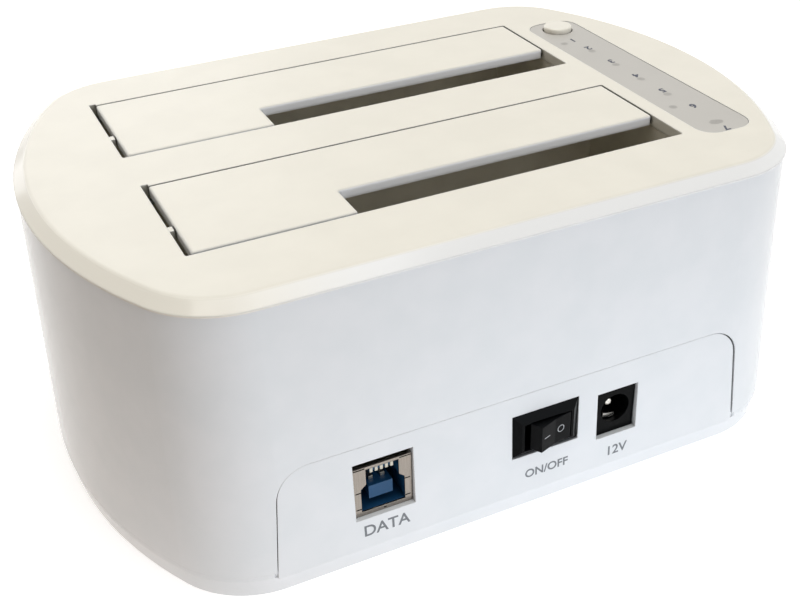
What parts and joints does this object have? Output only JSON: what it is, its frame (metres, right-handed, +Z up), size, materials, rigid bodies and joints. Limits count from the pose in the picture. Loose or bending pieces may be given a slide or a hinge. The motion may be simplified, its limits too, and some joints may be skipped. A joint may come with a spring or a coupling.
{
  "type": "hard drive docking station",
  "caption": "Docking station in which bare hard drives stand in two flapped slots, with a rear power switch and sockets and a button and lights on top.",
  "frame": {"origin": "on the table, under the middle of the whole object's plan", "axes": "+Z up, +Y to the rear where the sockets are, -X to the end with the control strip"},
  "size_m": [0.1594, 0.1136, 0.0665],
  "materials": {
    "shell_white": "moulded ABS, polished",
    "cover_cream": "moulded ABS, fine satin",
    "strip_grey": "printed film, satin",
    "light_pipe": "clear acrylic, frosted end",
    "cage_grey": "moulded ABS, matte",
    "black_plastic": "moulded PBT, satin",
    "rocker_black": "moulded nylon, polished",
    "port_blue": "moulded PBT, satin",
    "plated_steel": "tin-plated sheet",
    "screw_steel": "zinc-plated",
    "spring_steel": "drawn wire",
    "contact_gold": "gold flash over nickel",
    "board_green": "solder mask",
    "chip_black": "moulded epoxy",
    "capacitor_metal": "drawn can",
    "ferrite_grey": "pressed ferrite",
    "lamp_white": "moulded epoxy",
    "cable_grey": "extruded PVC",
    "header_cream": "moulded nylon",
    "wire_red": "extruded PVC",
    "foot_rubber": "moulded rubber"
  },
  "bodies": {
    "housing": {"base_screws": "screw_steel", "base_tray": "shell_white", "board_screws": "screw_steel", "body_shell": "shell_white", "bridge_chip": "chip_black", "cage_screws": "screw_steel", "capacitors": "capacitor_metal", "control_strip": "strip_grey", "crystal": "plated_steel", "drive_cage": "cage_grey", "front_drive_contacts": "contact_gold", "front_drive_socket": "black_plastic", "front_hinge_pin": "screw_steel", "indicator_board": "board_green", "indicator_lamps": "lamp_white", "indicator_screws": "screw_steel", "inductors": "ferrite_grey", "jack_body": "black_plastic", "jack_leaf": "plated_steel", "jack_pin": "plated_steel", "light_pipes": "light_pipe", "main_board": "board_green", "memory_chips": "chip_black", "port_contacts": "contact_gold", "port_insulator": "port_blue", "port_shell": "plated_steel", "rear_drive_contacts": "contact_gold", "rear_drive_socket": "black_plastic", "rear_hinge_pin": "screw_steel", "ribbon_cable": "cable_grey", "ribbon_headers": "header_cream", "rubber_feet": "foot_rubber", "switch_housing": "black_plastic", "switch_terminals": "plated_steel", "switch_wires": "wire_red", "tact_switch": "chip_black", "top_cover": "cover_cream"},
    "rear_flap": {"rear_flap": "cover_cream", "rear_flap_spring": "spring_steel"},
    "front_flap": {"front_flap": "cover_cream", "front_flap_spring": "spring_steel"},
    "clone_button": {"clone_button": "cover_cream", "tact_plunger": "black_plastic"},
    "power_rocker": {"switch_rocker": "rocker_black"}
  },
  "joints": [
    {"name": "rear_flap_hinge", "type": "hinge", "parent": "housing", "child": "rear_flap", "pos_m": [0, 0.00309, 0.0612], "axis": [-1, 0, 0], "range_deg": [0, 90], "stiffness_Nm_per_rad": 0.003, "springref_deg": -34.38},
    {"name": "front_flap_hinge", "type": "hinge", "parent": "housing", "child": "front_flap", "pos_m": [0, -0.04081, 0.0612], "axis": [-1, 0, 0], "range_deg": [0, 90], "stiffness_Nm_per_rad": 0.003, "springref_deg": -34.38},
    {"name": "clone_button_press", "type": "slide", "parent": "housing", "child": "clone_button", "axis": [0, 0, -1], "range_m": [0, 0.0005], "stiffness_N_per_m": 2000, "springref_m": -0.0002},
    {"name": "power_rocker_tilt", "type": "hinge", "parent": "housing", "child": "power_rocker", "pos_m": [-0.0056, 0.05109, 0.0194], "axis": [0, 0, -1], "range_deg": [0, 30]}
  ]
}
